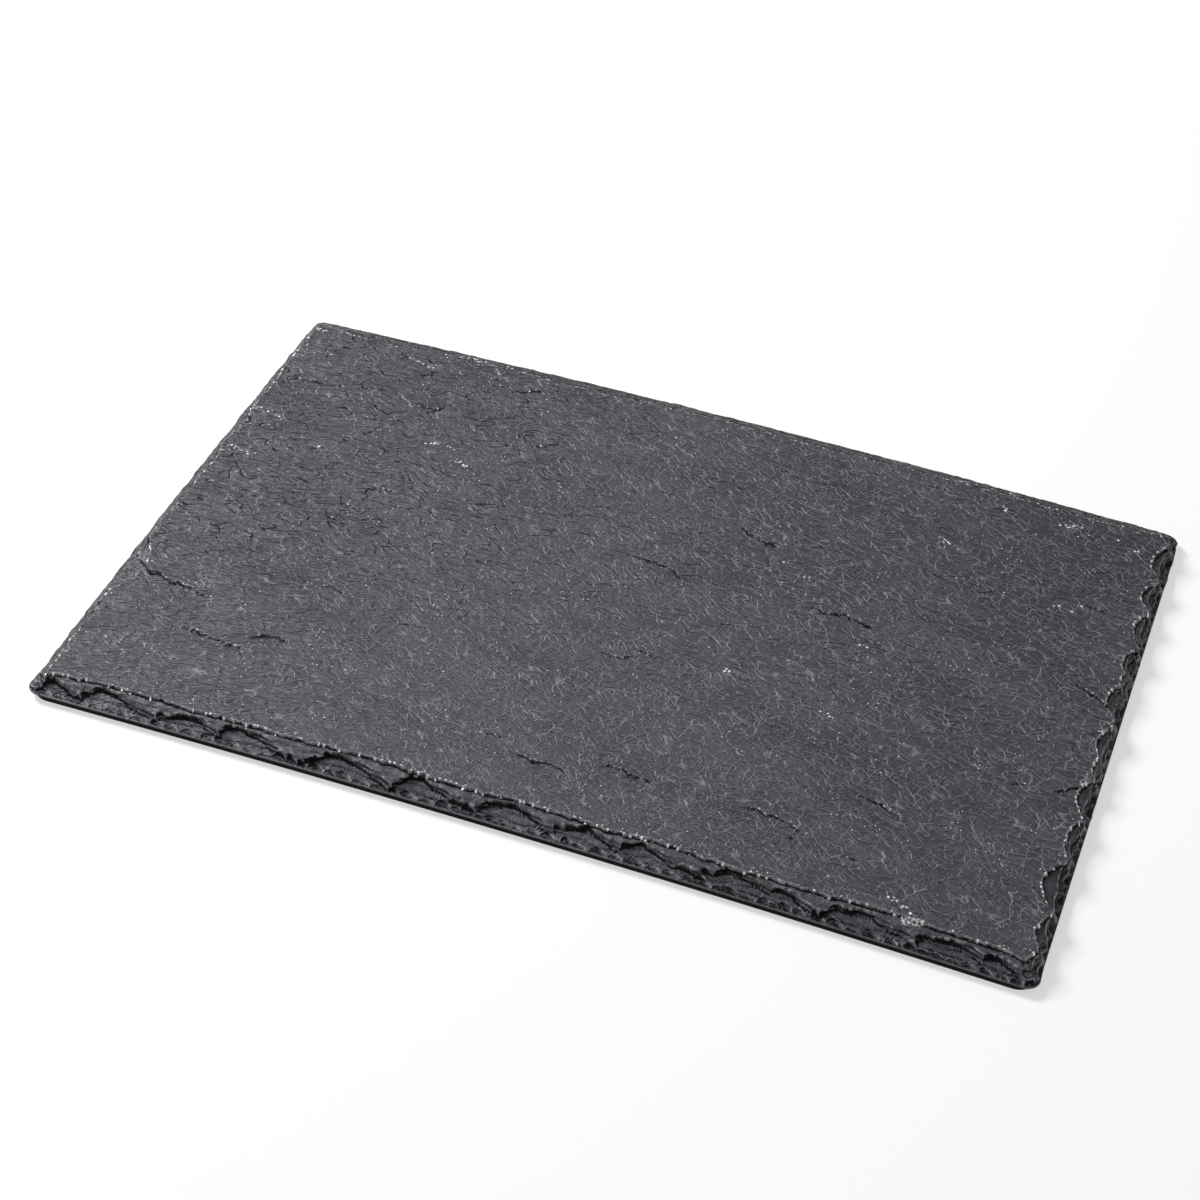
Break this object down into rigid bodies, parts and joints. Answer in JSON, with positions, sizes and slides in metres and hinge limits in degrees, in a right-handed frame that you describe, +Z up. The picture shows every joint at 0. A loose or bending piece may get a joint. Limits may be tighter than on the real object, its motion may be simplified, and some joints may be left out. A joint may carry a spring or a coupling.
{
  "type": "slate slab",
  "caption": "Rectangular plate of dark grey riven slate with flaked, bevelled edges on a thin black foam backing, for use as a serving or display slab.",
  "frame": {"origin": "centre of the box round the slab's outline, at the underside of the backing", "axes": "+X along the long side, +Y along the short side away from the front, whose flaked bevel shows best, +Z up out of the riven face"},
  "size_m": [0.3008, 0.2035, 0.007],
  "materials": {
    "slate": "riven, semi-matte, cool dark grey with fine raised wrinkles and tiny mica glints",
    "foam": "matte black closed-cell foam"
  },
  "bodies": {
    "root": {"slate_slab": "slate", "foam_backing": "foam"}
  },
  "joints": []
}
